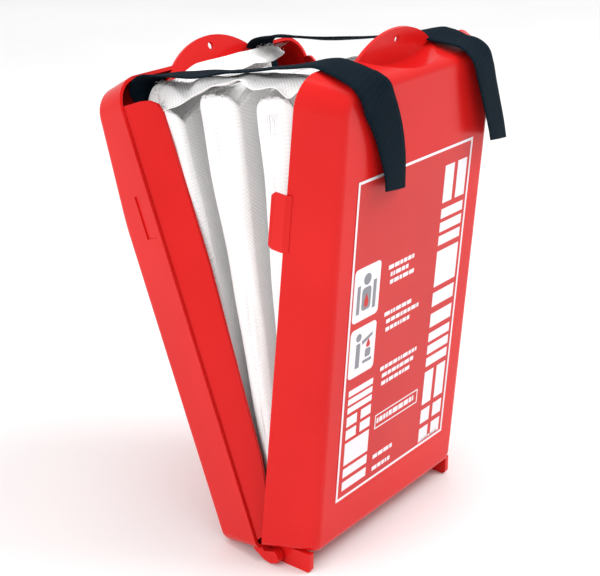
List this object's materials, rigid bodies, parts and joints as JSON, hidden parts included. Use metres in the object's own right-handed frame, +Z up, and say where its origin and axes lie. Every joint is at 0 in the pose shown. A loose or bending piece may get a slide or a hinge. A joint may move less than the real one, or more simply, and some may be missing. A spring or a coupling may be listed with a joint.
{
  "type": "fire blanket",
  "caption": "Folded glass-fibre fire blanket with two navy pull straps, fanned open in a hinged red plastic case that stands or hangs by an ear.",
  "frame": {"origin": "middle of the standing object's footprint, on the floor", "axes": "+X along the hinge axis towards the right strap, -Y out of the front cover, +Z up"},
  "size_m": [0.1842, 0.1902, 0.3242],
  "materials": {
    "red_case": "gloss moulded ABS",
    "label": "satin printed film",
    "glass_cloth": "woven glass-fibre cloth",
    "navy_webbing": "woven polyester webbing",
    "navy_thread": "twisted thread",
    "white_thread": "twisted thread"
  },
  "bodies": {
    "back_cover": {"back_cover": "red_case"},
    "front_cover": {"front_cover": "red_case", "front_label": "label"},
    "pull_straps": {"strap_left_tail": "navy_webbing", "strap_right_tail": "navy_webbing", "strap_left_bridge": "navy_webbing", "strap_right_bridge": "navy_webbing", "blanket_top_flap": "glass_cloth"},
    "fold_1": {"blanket_fold_1": "glass_cloth", "strap_left_sewn_end": "navy_webbing", "strap_right_sewn_end": "navy_webbing", "strap_left_box_stitch": "navy_thread", "strap_right_box_stitch": "navy_thread"},
    "fold_2": {"blanket_fold_2": "glass_cloth"},
    "fold_3": {"blanket_fold_3": "glass_cloth"},
    "fold_4": {"blanket_fold_4": "glass_cloth"},
    "fold_5": {"blanket_fold_5": "glass_cloth"},
    "fold_6": {"blanket_fold_6": "glass_cloth", "blanket_hem_stitching": "white_thread"}
  },
  "joints": [
    {"name": "front_cover_hinge", "type": "hinge", "parent": "back_cover", "child": "front_cover", "pos_m": [0, -0.0412, 0.00581], "axis": [1, 0, 0], "range_deg": [-26.1, 0]},
    {"name": "blanket_pull", "type": "slide", "parent": "front_cover", "child": "pull_straps", "axis": [0, 0, 1], "range_m": [0, 0.37], "deforming": ["strap_left_bridge", "strap_right_bridge", "blanket_top_flap"]},
    {"name": "fold_1_fan", "type": "hinge", "parent": "pull_straps", "child": "fold_1", "pos_m": [0, -0.0412, 0.00581], "axis": [1, 0, 0], "range_deg": [0, 23.36]},
    {"name": "fold_2_fan", "type": "hinge", "parent": "pull_straps", "child": "fold_2", "pos_m": [0, -0.0412, 0.00581], "axis": [1, 0, 0], "range_deg": [0, 19.59]},
    {"name": "fold_3_fan", "type": "hinge", "parent": "pull_straps", "child": "fold_3", "pos_m": [0, -0.0412, 0.00581], "axis": [1, 0, 0], "range_deg": [0, 15.83]},
    {"name": "fold_4_fan", "type": "hinge", "parent": "pull_straps", "child": "fold_4", "pos_m": [0, -0.0412, 0.00581], "axis": [1, 0, 0], "range_deg": [0, 12.07]},
    {"name": "fold_5_fan", "type": "hinge", "parent": "pull_straps", "child": "fold_5", "pos_m": [0, -0.0412, 0.00581], "axis": [1, 0, 0], "range_deg": [0, 8.3]},
    {"name": "fold_6_fan", "type": "hinge", "parent": "pull_straps", "child": "fold_6", "pos_m": [0, -0.0412, 0.00581], "axis": [1, 0, 0], "range_deg": [0, 4.54]}
  ],
  "couplings": [
    {"joint": "fold_1_fan", "follows": "front_cover_hinge", "ratio": -0.893},
    {"joint": "fold_2_fan", "follows": "front_cover_hinge", "ratio": -0.7488},
    {"joint": "fold_3_fan", "follows": "front_cover_hinge", "ratio": -0.6046},
    {"joint": "fold_4_fan", "follows": "front_cover_hinge", "ratio": -0.4604},
    {"joint": "fold_5_fan", "follows": "front_cover_hinge", "ratio": -0.3162},
    {"joint": "fold_6_fan", "follows": "front_cover_hinge", "ratio": -0.172}
  ]
}
